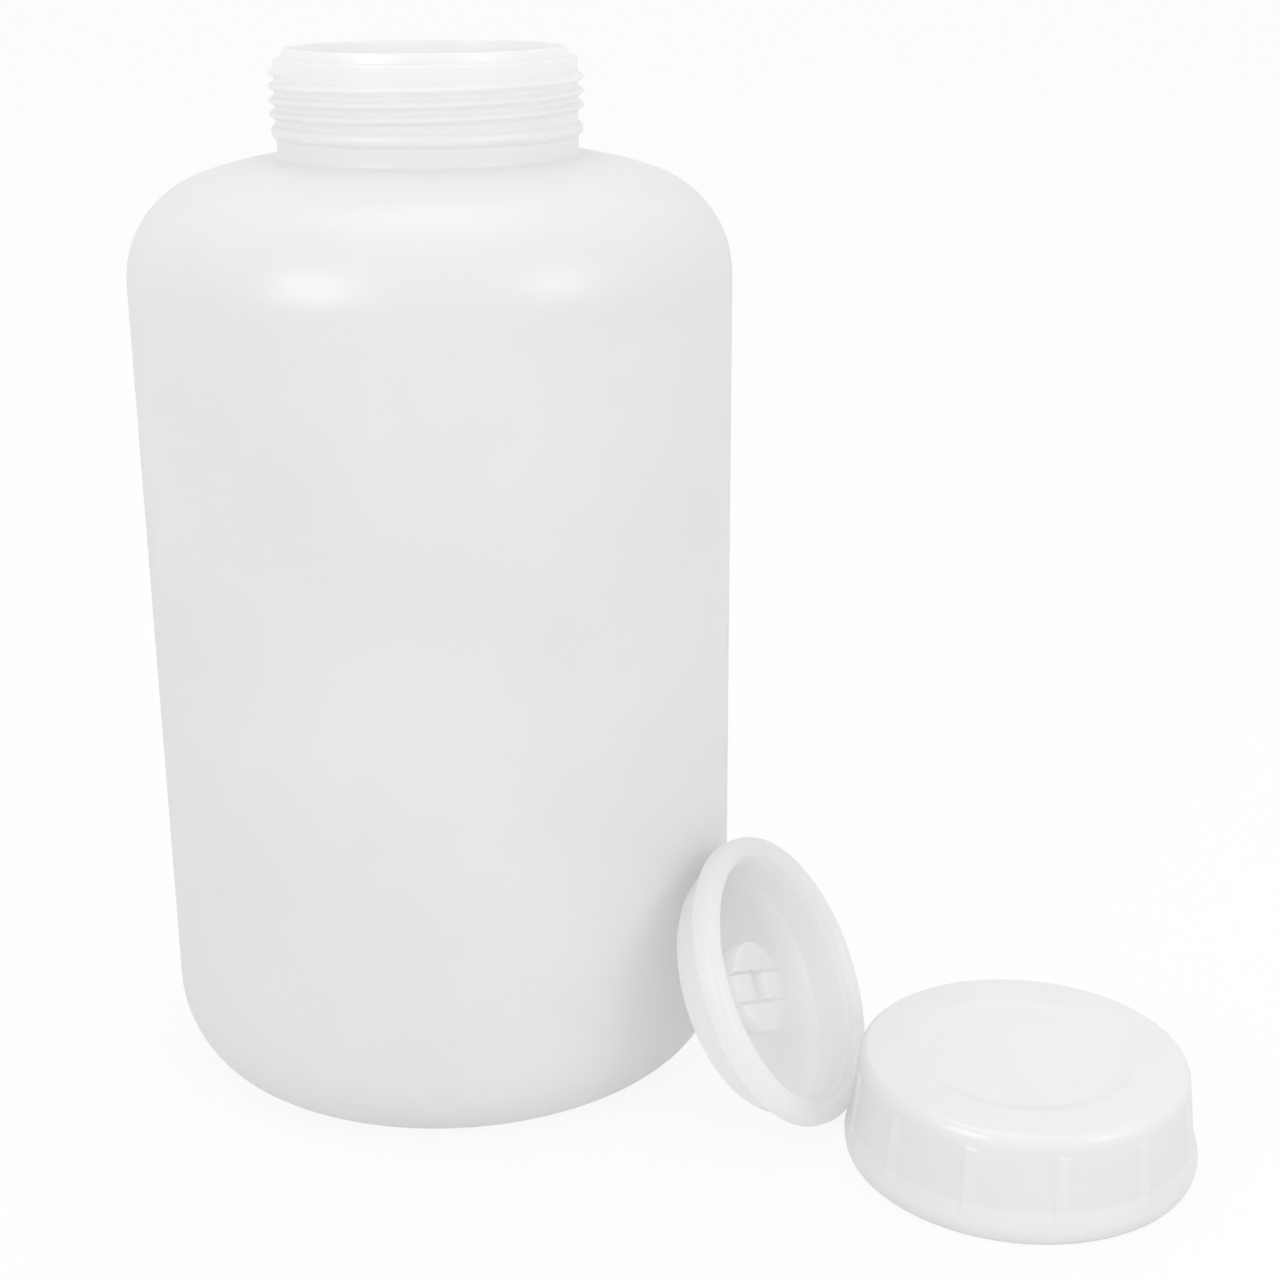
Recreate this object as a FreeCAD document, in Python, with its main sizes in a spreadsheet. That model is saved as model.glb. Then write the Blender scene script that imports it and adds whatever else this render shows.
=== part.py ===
import FreeCAD, Part
import math
import os

import Sketcher

# A wide-mouth plastic storage jar in three loose pieces: the blow-moulded bottle, standing; its
# screw cap, lying mouth down in front of it; and the cup-shaped inner plug, leaning on the bottle.
# Millimetres and degrees. The origin is on the bottle's axis, on the surface it stands on, +Z up.

os.makedirs("parts", exist_ok=True)

SIZES = {
    # bottle body
    "body_radius": 62.0,
    "body_wall": 1.6,
    "total_height": 216.0,
    "shoulder_drop": 45.6,           # from the lip down to where the shoulder starts
    "shoulder_edge_radius": 21.8,
    "shoulder_edge_turn": 71.0,
    "shoulder_crown_radius": 79.4,
    "flank_radius": 22.0,            # the wall's gentle curve above the heel
    "flank_turn": 36.0,
    "heel_radius": 10.0,
    "standing_width": 4.0,           # flat ring that the bottle stands on
    "push_up": 3.0,                  # hollow under the base
    "push_up_slope": 7.0,
    # neck and mouth
    "neck_radius": 30.5,
    "neck_wall": 2.95,               # between the neck's outside and the mouth's bore
    "lip_step": 1.75,                # how much narrower the plain lip is than the neck
    "lip_rise": 2.1,
    "bead_drop": 16.1,               # from the lip down to the middle of the retaining bead
    "bead_round": 1.45,
    "bead_depth": 1.0,
    # screw thread, right-handed
    "thread_pitch": 2.75,
    "thread_depth": 1.25,
    "thread_base": 1.9,
    "thread_crest": 0.8,
    "thread_turns": 3.2,
    "thread_drop": 13.1,             # from the lip down to the middle of the thread's lower end
    "thread_start": 145.0,           # direction of that end
    "root_sink": 0.3,                # how far a ridge's foot reaches into the wall it stands on
    # inner plug
    "plug_fit": 0.15,                # gap between the plug's cup and the mouth
    "plug_rim_overhang": 0.4,        # how far the rim stands out past the neck it caps
    "plug_rim_width": 4.4,
    "plug_rim_height": 5.6,
    "plug_rim_round": 2.1,
    "plug_rim_inner_round": 1.5,
    "plug_ledge": 0.3,               # the small ledge inside the rim, above the rim's middle
    "plug_depth": 11.2,              # from the rim's middle to the underside
    "plug_wall": 1.7,
    "plug_corner": 7.0,
    "grip_radius": 9.4,
    "grip_height": 4.0,
    "grip_slot": 0.9,
    "grip_slot_spread": 5.6,         # between the two slots' middles
    "grip_hole_width": 3.8,
    "grip_hole_length": 10.6,
    "grip_roll": -14.0,              # the slots' slant, seen from the plug's open side
    # screw cap
    "cap_fit": 0.25,                 # gap between the bottle's thread crest and the cap's wall
    "cap_wall": 1.3,
    "cap_top": 1.6,
    "cap_height": 21.8,
    "cap_edge_round": 2.0,
    "cap_flare": 1.7,                # how much wider the skirt is at its foot than at its top
    "cap_bead_height": 3.4,
    "cap_bead_depth": 0.7,
    "cap_recess_radius": 22.4,
    "cap_recess_slope": 1.8,
    "cap_recess_depth": 0.7,
    "cap_ribs": 12.0,
    "cap_rib_width": 1.7,
    "cap_rib_depth": 0.45,
    "cap_rib_drop": 3.6,             # from the cap's top down to the ribs' upper ends
    "cap_rib_foot": 2.4,
    "cap_rib_first": 28.0,           # direction of one rib
    "cap_thread_depth": 0.9,
    "cap_thread_rise": 3.0,          # middle of the cap thread's end nearest the mouth
    "cap_thread_turns": 2.5,
    "cut_margin": 1.0,               # how far a cut runs past the surface it opens
    # how the loose pieces lie
    "touch_gap": 0.05,               # between pieces that touch
    "plug_azimuth": -34.7,           # direction, from the bottle's axis, of the back of the plug
    "plug_facing": -28.4,            # where its open side looks
    "plug_tilt": 27.8,               # how far its open side looks up
    "cap_bearing": -28.6,            # direction of the cap, from the plug's foot
    "cap_gap": 0.15,                 # between the plug's foot and the cap
}

doc = FreeCAD.newDocument("storage_jar")
sheet = doc.addObject("Spreadsheet::Sheet", "sizes")
for row, (name, value) in enumerate(SIZES.items(), start=1):
    sheet.set("A%d" % row, name)
    sheet.set("B%d" % row, str(value))
    sheet.setAlias("B%d" % row, name)
doc.recompute()


def size(name):
    """A driving dimension's number, for drawing a sketch close to its final shape."""
    return float(sheet.get(name))


def turned(centre, radius, degrees):
    """The point of a circle in a given direction."""
    angle = math.radians(degrees)
    return centre[0] + radius * math.cos(angle), centre[1] + radius * math.sin(angle)


def new_body(name, label):
    body = doc.addObject("PartDesign::Body", name)
    body.Label = label
    return body


def new_sketch(body, name, role):
    """An empty sketch on one of the body's own origin planes."""
    plane = [item for item in body.Origin.OriginFeatures if item.Role == role][0]
    sketch = body.newObject("Sketcher::SketchObject", name)
    sketch.AttachmentSupport = [(plane, "")]
    sketch.MapMode = "FlatFace"
    return sketch


def tie(sketch, name, constraint, expression):
    """Adds a dimension, at the size it is drawn, and binds it to the sheet."""
    index = sketch.addConstraint(constraint)
    sketch.renameConstraint(index, name)
    sketch.setExpression("Constraints." + name, expression)


def tie_x(sketch, name, end, expression):
    """Sets how far an end of a piece lies to the right of the sketch's origin."""
    drawn = sketch.getPoint(*end).x
    tie(sketch, name, Sketcher.Constraint("DistanceX", -1, 1, end[0], end[1], drawn), expression)


def tie_y(sketch, name, end, expression):
    """Sets how far an end of a piece lies above the sketch's origin."""
    drawn = sketch.getPoint(*end).y
    tie(sketch, name, Sketcher.Constraint("DistanceY", -1, 1, end[0], end[1], drawn), expression)


def tie_run(sketch, name, start, end, expression):
    """Sets how far to the right of one end another lies."""
    drawn = sketch.getPoint(*end).x - sketch.getPoint(*start).x
    tie(sketch, name, Sketcher.Constraint("DistanceX", *start, *end, drawn), expression)


def tie_radius(sketch, name, number, expression):
    drawn = sketch.Geometry[number].Radius
    tie(sketch, name, Sketcher.Constraint("Radius", number, drawn), expression)


def tie_turn(sketch, name, number, expression):
    """Sets the angle that an arc turns through, in degrees."""
    arc = sketch.Geometry[number]
    drawn = arc.LastParameter - arc.FirstParameter
    tie(sketch, name, Sketcher.Constraint("Angle", number, drawn), expression + " * 1 deg")


def draw_loop(sketch, pieces):
    """Draws a closed loop of pieces, each joined to the one before it.

    A piece is ("line", start, end) or ("arc", centre, radius, from degrees, to degrees). "smooth" at
    the end of a piece makes it tangent to the one before. Upright and level lines are kept so, and a
    line down the sketch's own axis is kept on it. Returns each piece's number and its two ends.
    """
    drawn = []
    for piece in pieces:
        if piece[0] == "line":
            start = FreeCAD.Vector(piece[1][0], piece[1][1], 0)
            end = FreeCAD.Vector(piece[2][0], piece[2][1], 0)
            number = sketch.addGeometry(Part.LineSegment(start, end), False)
            first, last = (number, 1), (number, 2)
            if abs(start.x) + abs(end.x) < 1e-6:
                sketch.addConstraint(Sketcher.Constraint("PointOnObject", number, 1, -2))
                sketch.addConstraint(Sketcher.Constraint("PointOnObject", number, 2, -2))
            elif abs(start.x - end.x) < 1e-6:
                sketch.addConstraint(Sketcher.Constraint("Vertical", number))
            elif abs(start.y - end.y) < 1e-6:
                sketch.addConstraint(Sketcher.Constraint("Horizontal", number))
        else:
            centre = FreeCAD.Vector(piece[1][0], piece[1][1], 0)
            circle = Part.Circle(centre, FreeCAD.Vector(0, 0, 1), piece[2])
            low, high = sorted(piece[3:5])
            arc = Part.ArcOfCircle(circle, math.radians(low), math.radians(high))
            number = sketch.addGeometry(arc, False)
            first, last = (number, 1), (number, 2)
            if piece[3] > piece[4]:
                first, last = last, first
        drawn.append((number, first, last))
    for index, (number, first, last) in enumerate(drawn):
        before = drawn[index - 1][2]
        kind = "Tangent" if pieces[index][-1] == "smooth" else "Coincident"
        sketch.addConstraint(Sketcher.Constraint(kind, before[0], before[1], first[0], first[1]))
    return drawn


def revolve(body, sketch, name, kind="PartDesign::Revolution"):
    """Turns a sketch once round its upright axis, adding or, as a Groove, taking away."""
    feature = body.newObject(kind, name)
    feature.Profile = sketch
    feature.ReferenceAxis = (sketch, ["V_Axis"])
    feature.Angle = 360.0
    sketch.Visibility = False
    return feature


def body_loop(sketch, inset, inset_cell, mouth, mouth_cell, top, top_cell):
    """The bottle's outline, moved in by a wall: base, heel, flank, straight side, shoulder and neck.

    The neck is an upright line at the mouth's radius, from the shoulder up to the given height.
    """
    side = size("body_radius") - inset
    flank = size("flank_radius") - inset
    heel = size("heel_radius") - inset
    edge = size("shoulder_edge_radius") - inset
    crown = size("shoulder_crown_radius") - inset
    heel_end = -size("flank_turn")
    edge_end = size("shoulder_edge_turn")
    turn = math.radians(heel_end)
    heel_centre = (side - flank + (flank - heel) * math.cos(turn), inset + heel)
    flank_centre = (side - flank, heel_centre[1] - (flank - heel) * math.sin(turn))
    edge_centre = (side - edge, size("total_height") - size("shoulder_drop"))
    crown_centre = turned(edge_centre, edge - crown, edge_end)
    crown_end = math.degrees(math.acos((mouth - crown_centre[0]) / crown))
    neck_foot = turned(crown_centre, crown, crown_end)
    ring_inner = heel_centre[0] - size("standing_width")
    hollow = ring_inner - size("push_up_slope")
    floor = inset + size("push_up")
    pieces = [
        ("line", (0, floor), (hollow, floor)),
        ("line", (hollow, floor), (ring_inner, inset)),
        ("line", (ring_inner, inset), (heel_centre[0], inset)),
        ("arc", heel_centre, heel, -90, heel_end, "smooth"),
        ("arc", flank_centre, flank, heel_end, 0, "smooth"),
        ("line", (side, flank_centre[1]), (side, edge_centre[1]), "smooth"),
        ("arc", edge_centre, edge, 0, edge_end, "smooth"),
        ("arc", crown_centre, crown, edge_end, crown_end, "smooth"),
        ("line", neck_foot, (mouth, top)),
        ("line", (mouth, top), (0, top)),
        ("line", (0, top), (0, floor)),
    ]
    drawn = draw_loop(sketch, pieces)
    base, slope, ring, heel_arc, flank_arc, wall, edge_arc, crown_arc, neck, lid, axis = drawn
    tie_y(sketch, "ring_level", ring[1], inset_cell)
    tie_y(sketch, "push_up", base[1], "sizes.push_up + " + inset_cell)
    tie_run(sketch, "standing_width", ring[1], ring[2], "sizes.standing_width")
    tie_run(sketch, "push_up_slope", slope[1], slope[2], "sizes.push_up_slope")
    for name, arc in (("heel", heel_arc), ("flank", flank_arc), ("shoulder_edge", edge_arc),
                      ("shoulder_crown", crown_arc)):
        tie_radius(sketch, name + "_radius", arc[0], "sizes.%s_radius - %s" % (name, inset_cell))
    tie_turn(sketch, "flank_turn", flank_arc[0], "sizes.flank_turn")
    tie_turn(sketch, "shoulder_edge_turn", edge_arc[0], "sizes.shoulder_edge_turn")
    tie_x(sketch, "side", wall[2], "sizes.body_radius - " + inset_cell)
    tie_y(sketch, "straight_top", wall[2], "sizes.total_height - sizes.shoulder_drop")
    tie_x(sketch, "mouth", neck[2], mouth_cell)
    tie_y(sketch, "top", neck[2], top_cell)


def ridge_loop(sketch, foot, foot_cell, reach, reach_cell, middle, middle_cell, inward):
    """A ridge's section: a foot sunk in its wall, two sloping flanks and a narrow crest."""
    side = -1 if inward else 1
    sink = size("root_sink")
    base = size("thread_base") / 2
    crest = size("thread_crest") / 2
    foot_x = foot - side * sink
    crest_x = foot + side * reach
    pieces = [
        ("line", (foot_x, middle - base), (crest_x, middle - crest)),
        ("line", (crest_x, middle - crest), (crest_x, middle + crest)),
        ("line", (crest_x, middle + crest), (foot_x, middle + base)),
        ("line", (foot_x, middle + base), (foot_x, middle - base)),
    ]
    lower, top, upper, back = draw_loop(sketch, pieces)
    sign = "-" if inward else "+"
    away = "+" if inward else "-"
    tie_x(sketch, "foot", back[1], "%s %s sizes.root_sink" % (foot_cell, away))
    tie_x(sketch, "crest", top[1], "%s %s %s" % (foot_cell, sign, reach_cell))
    tie_y(sketch, "back_low", back[2], middle_cell + " - sizes.thread_base / 2")
    tie_y(sketch, "back_high", back[1], middle_cell + " + sizes.thread_base / 2")
    tie_y(sketch, "crest_low", top[1], middle_cell + " - sizes.thread_crest / 2")
    tie_y(sketch, "crest_high", top[2], middle_cell + " + sizes.thread_crest / 2")


def add_thread(body, sketch, turns_cell):
    """A right-handed ridge that winds up the body's axis from a section."""
    thread = body.newObject("PartDesign::AdditiveHelix", "Thread")
    thread.Profile = sketch
    thread.ReferenceAxis = (sketch, ["V_Axis"])
    thread.Mode = 1
    thread.Angle = 0
    thread.Growth = 0
    thread.LeftHanded = False
    thread.Reversed = False
    thread.setExpression("Pitch", "sizes.thread_pitch")
    thread.setExpression("Turns", turns_cell)
    sketch.Visibility = False
    return thread


def ring_section(sketch, centre, radius, x_cell, y_cell, radius_cell):
    """A round section, for a bead that runs round the body's axis."""
    circle = Part.Circle(FreeCAD.Vector(centre[0], centre[1], 0), FreeCAD.Vector(0, 0, 1), radius)
    number = sketch.addGeometry(circle, False)
    tie_x(sketch, "middle_x", (number, 3), x_cell)
    tie_y(sketch, "middle_y", (number, 3), y_cell)
    tie_radius(sketch, "round", number, radius_cell)


# The mouth's bore, and the plug's cup and rim that go in it and over it, as formulas of the sheet.
MOUTH = "(sizes.neck_radius - sizes.neck_wall)"
PLUG_CUP = "(%s - sizes.plug_fit)" % MOUTH
PLUG_RIM = "(sizes.neck_radius + sizes.plug_rim_overhang)"

# Where the loose pieces lie, as formulas of the sheet. The plug stands on its rim and its cup's rounded
# back corner leans on the bottle: seen from above, that corner bulges towards the bottle like an arc
# whose middle lies a bow behind the cup's back, so the two arcs' radii add up between their middles.
TILT = "(sizes.plug_tilt * 1 deg)"
FACING = "(sizes.plug_facing * 1 deg)"
AZIMUTH = "(sizes.plug_azimuth * 1 deg)"
BEARING = "(sizes.cap_bearing * 1 deg)"
BACK_RADIUS = "(%s - sizes.plug_corner)" % PLUG_CUP
BOW = "(%s * cos(%s)^2 / sin(%s))" % (BACK_RADIUS, TILT, TILT)
REACH = "(sizes.body_radius + sizes.touch_gap + sizes.plug_corner + %s / sin(%s))" % (BACK_RADIUS, TILT)
ASKEW = "(%s - %s)" % (FACING, AZIMUTH)
BACK_RUN = "(sqrt(%s^2 - (%s * sin(%s))^2) - %s * cos(%s))" % (REACH, BOW, ASKEW, BOW, ASKEW)
CUP_RUN = "((sizes.plug_depth - sizes.plug_corner) * cos(%s))" % TILT
RIM_RING = "(%s - sizes.plug_rim_round)" % PLUG_RIM
RIM_FLAT = "(sizes.plug_rim_height / 2 - sizes.plug_rim_round)"
PLUG_X = "(%s * cos(%s) + %s * cos(%s))" % (BACK_RUN, AZIMUTH, CUP_RUN, FACING)
PLUG_Y = "(%s * sin(%s) + %s * sin(%s))" % (BACK_RUN, AZIMUTH, CUP_RUN, FACING)
PLUG_Z = "(%s * cos(%s) + %s * sin(%s) + sizes.plug_rim_round)" % (RIM_RING, TILT, RIM_FLAT, TILT)
PLUG_LEAN = "rotationz(%s + 90 deg) * rotationx(90 deg - %s)" % (FACING, TILT)
PLUG_TURN = PLUG_LEAN + " * rotationz(sizes.grip_roll * 1 deg)"
FOOT_RUN = "(%s * sin(%s) + %s * cos(%s) + sizes.plug_rim_round)" % (RIM_RING, TILT, RIM_FLAT, TILT)
CAP_BORE = "(sizes.neck_radius + sizes.thread_depth + sizes.cap_fit)"
CAP_SIDE = "(%s + sizes.cap_wall)" % CAP_BORE
CAP_FOOT = "(%s + sizes.cap_flare)" % CAP_SIDE
CAP_RUN = "(sizes.cap_gap + %s + sizes.cap_bead_depth)" % CAP_FOOT
CAP_X = "(%s + %s * cos(%s) + %s * cos(%s))" % (PLUG_X, FOOT_RUN, FACING, CAP_RUN, BEARING)
CAP_Y = "(%s + %s * sin(%s) + %s * sin(%s))" % (PLUG_Y, FOOT_RUN, FACING, CAP_RUN, BEARING)


def place(body, x_cell, y_cell, z_cell, turn_cell):
    """Binds where a piece lies and how it is turned."""
    where = "vector(%s; %s; %s)" % (x_cell, y_cell, z_cell)
    body.setExpression("Placement", "placement(%s; %s)" % (where, turn_cell))


def make_bottle():
    """The blow-moulded bottle: a thin body, a thicker threaded neck and a narrow plain lip."""
    body = new_body("Bottle", "bottle")
    height = size("total_height")
    neck = size("neck_radius")
    shoulder_top = height - size("lip_rise")
    outside = new_sketch(body, "Outside", "XZ_Plane")
    body_loop(outside, 0.0, "0", neck, "sizes.neck_radius",
              shoulder_top, "sizes.total_height - sizes.lip_rise")
    revolve(body, outside, "Blank")

    lip = new_sketch(body, "Lip", "XZ_Plane")
    lip_radius = neck - size("lip_step")
    lip_foot = shoulder_top - size("root_sink")
    drawn = draw_loop(lip, [
        ("line", (0, lip_foot), (lip_radius, lip_foot)),
        ("line", (lip_radius, lip_foot), (lip_radius, height)),
        ("line", (lip_radius, height), (0, height)),
        ("line", (0, height), (0, lip_foot)),
    ])
    tie_y(lip, "foot", drawn[1][1], "sizes.total_height - sizes.lip_rise - sizes.root_sink")
    tie_y(lip, "top", drawn[1][2], "sizes.total_height")
    tie_x(lip, "side", drawn[1][2], "sizes.neck_radius - sizes.lip_step")
    revolve(body, lip, "LipBand")

    bead = new_sketch(body, "Bead", "XZ_Plane")
    bead_middle = (neck + size("bead_depth") - size("bead_round"), height - size("bead_drop"))
    middle_cell = "sizes.neck_radius + sizes.bead_depth - sizes.bead_round"
    level_cell = "sizes.total_height - sizes.bead_drop"
    ring_section(bead, bead_middle, size("bead_round"), middle_cell, level_cell, "sizes.bead_round")
    revolve(body, bead, "RetainingBead")

    ridge = new_sketch(body, "Ridge", "XZ_Plane")
    ridge_loop(ridge, neck, "sizes.neck_radius", size("thread_depth"), "sizes.thread_depth",
               height - size("thread_drop"), "sizes.total_height - sizes.thread_drop", inward=False)
    add_thread(body, ridge, "sizes.thread_turns")

    cavity = new_sketch(body, "Cavity", "XZ_Plane")
    mouth = neck - size("neck_wall")
    above = height + size("cut_margin")
    above_cell = "sizes.total_height + sizes.cut_margin"
    body_loop(cavity, size("body_wall"), "sizes.body_wall", mouth, MOUTH, above, above_cell)
    revolve(body, cavity, "Hollow", "PartDesign::Groove")
    place(body, "0", "0", "0", "rotationz(sizes.thread_start * 1 deg)")
    return body


def make_plug():
    """The inner plug: a shallow cup under a thick rounded rim, with a slotted grip on its floor.

    Its own frame has the rim's middle at the origin and the cup's open side up.
    """
    body = new_body("InnerPlug", "inner_plug")
    rim = size("neck_radius") + size("plug_rim_overhang")
    half = size("plug_rim_height") / 2
    around = size("plug_rim_round")
    inner_round = size("plug_rim_inner_round")
    inner = rim - size("plug_rim_width")
    cup = size("neck_radius") - size("neck_wall") - size("plug_fit")
    bore = cup - size("plug_wall")
    ledge = size("plug_ledge")
    under = -size("plug_depth")
    floor = under + size("plug_wall")
    corner = size("plug_corner")
    inner_corner = corner - size("plug_wall")
    outline = new_sketch(body, "Outline", "XZ_Plane")
    drawn = draw_loop(outline, [
        ("line", (0, under), (cup - corner, under)),
        ("arc", (cup - corner, under + corner), corner, -90, 0, "smooth"),
        ("line", (cup, under + corner), (cup, -half), "smooth"),
        ("line", (cup, -half), (rim - around, -half)),
        ("arc", (rim - around, around - half), around, -90, 0, "smooth"),
        ("line", (rim, around - half), (rim, half - around), "smooth"),
        ("arc", (rim - around, half - around), around, 0, 90, "smooth"),
        ("line", (rim - around, half), (inner + inner_round, half), "smooth"),
        ("arc", (inner + inner_round, half - inner_round), inner_round, 90, 180, "smooth"),
        ("line", (inner, half - inner_round), (inner, ledge), "smooth"),
        ("line", (inner, ledge), (bore, ledge)),
        ("line", (bore, ledge), (bore, floor + inner_corner)),
        ("arc", (bore - inner_corner, floor + inner_corner), inner_corner, 0, -90, "smooth"),
        ("line", (bore - inner_corner, floor), (0, floor), "smooth"),
        ("line", (0, floor), (0, under)),
    ])
    tie_y(outline, "underside", drawn[0][2], "-sizes.plug_depth")
    tie_radius(outline, "corner", drawn[1][0], "sizes.plug_corner")
    tie_x(outline, "cup", drawn[2][2], PLUG_CUP)
    tie_y(outline, "rim_under", drawn[3][1], "-sizes.plug_rim_height / 2")
    tie_radius(outline, "low_round", drawn[4][0], "sizes.plug_rim_round")
    tie_x(outline, "rim", drawn[5][2], PLUG_RIM)
    tie_radius(outline, "high_round", drawn[6][0], "sizes.plug_rim_round")
    tie_y(outline, "rim_top", drawn[7][2], "sizes.plug_rim_height / 2")
    tie_radius(outline, "inner_round", drawn[8][0], "sizes.plug_rim_inner_round")
    tie_x(outline, "rim_inner", drawn[9][2], PLUG_RIM + " - sizes.plug_rim_width")
    tie_y(outline, "ledge", drawn[10][2], "sizes.plug_ledge")
    tie_x(outline, "cup_inner", drawn[11][1], PLUG_CUP + " - sizes.plug_wall")
    tie_radius(outline, "inner_corner", drawn[12][0], "sizes.plug_corner - sizes.plug_wall")
    tie_y(outline, "floor", drawn[13][2], "sizes.plug_wall - sizes.plug_depth")
    revolve(body, outline, "Cup")
    add_grip(body)
    place(body, PLUG_X, PLUG_Y, PLUG_Z, PLUG_TURN)
    return body


def add_grip(body):
    """A low disc on the plug's floor, split by two slots and opened by a six-sided hole."""
    disc = new_sketch(body, "GripDisc", "XY_Plane")
    disc.setExpression("AttachmentOffset.Base.z", "sizes.plug_wall - sizes.plug_depth - sizes.root_sink")
    circle = Part.Circle(FreeCAD.Vector(0, 0, 0), FreeCAD.Vector(0, 0, 1), size("grip_radius"))
    number = disc.addGeometry(circle, False)
    disc.addConstraint(Sketcher.Constraint("Coincident", number, 3, -1, 1))
    tie_radius(disc, "radius", number, "sizes.grip_radius")
    pad = body.newObject("PartDesign::Pad", "Grip")
    pad.Profile = disc
    pad.setExpression("Length", "sizes.grip_height + sizes.root_sink")
    disc.Visibility = False
    doc.recompute()

    floor_cell = "sizes.plug_wall - sizes.plug_depth"
    reach = size("grip_radius") + size("cut_margin")
    spread = size("grip_slot_spread") / 2
    slot = size("grip_slot") / 2
    for name, sign in (("UpperSlot", 1), ("LowerSlot", -1)):
        sketch = new_sketch(body, name + "Outline", "XY_Plane")
        sketch.setExpression("AttachmentOffset.Base.z", floor_cell)
        low, high = sign * spread - slot, sign * spread + slot
        drawn = draw_loop(sketch, [
            ("line", (-reach, low), (reach, low)),
            ("line", (reach, low), (reach, high)),
            ("line", (reach, high), (-reach, high)),
            ("line", (-reach, high), (-reach, low)),
        ])
        middle = "%d * sizes.grip_slot_spread / 2" % sign
        tie_x(sketch, "right", drawn[1][1], "sizes.grip_radius + sizes.cut_margin")
        tie_y(sketch, "low", drawn[1][1], middle + " - sizes.grip_slot / 2")
        tie_x(sketch, "left", drawn[3][1], "-sizes.grip_radius - sizes.cut_margin")
        tie_y(sketch, "high", drawn[3][1], middle + " + sizes.grip_slot / 2")
        cut_up(body, sketch, name, "sizes.grip_height")
    hole = new_sketch(body, "GripHoleOutline", "XY_Plane")
    hole.setExpression("AttachmentOffset.Base.z", floor_cell)
    wide = size("grip_hole_width") / 2
    tip = size("grip_hole_length") / 2
    corners = [(wide, -spread), (wide, spread), (0, tip), (-wide, spread), (-wide, -spread), (0, -tip)]
    sides = [("line", corners[index - 1], corner) for index, corner in enumerate(corners)]
    drawn = draw_loop(hole, sides)
    wide_cell = "sizes.grip_hole_width / 2"
    spread_cell = "sizes.grip_slot_spread / 2"
    tip_cell = "sizes.grip_hole_length / 2"
    tie_x(hole, "right", drawn[1][2], wide_cell)
    tie_y(hole, "right_high", drawn[1][2], spread_cell)
    tie_y(hole, "right_low", drawn[1][1], "-" + spread_cell)
    tie_x(hole, "left", drawn[4][1], "-" + wide_cell)
    tie_y(hole, "left_high", drawn[4][1], spread_cell)
    tie_y(hole, "left_low", drawn[4][2], "-" + spread_cell)
    tie_y(hole, "tip_high", drawn[2][2], tip_cell)
    tie_y(hole, "tip_low", drawn[5][2], "-" + tip_cell)
    hole.addConstraint(Sketcher.Constraint("PointOnObject", drawn[2][2][0], drawn[2][2][1], -2))
    hole.addConstraint(Sketcher.Constraint("PointOnObject", drawn[5][2][0], drawn[5][2][1], -2))
    cut_up(body, hole, "GripHole", "sizes.grip_height")


def cut_up(body, sketch, name, depth_cell):
    """Cuts a sketch's shape upwards, out through the top of what stands on the sketch's plane."""
    pocket = body.newObject("PartDesign::Pocket", name)
    pocket.Profile = sketch
    pocket.Reversed = True
    pocket.setExpression("Length", depth_cell + " + sizes.cut_margin")
    sketch.Visibility = False
    doc.recompute()
    return pocket


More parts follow.
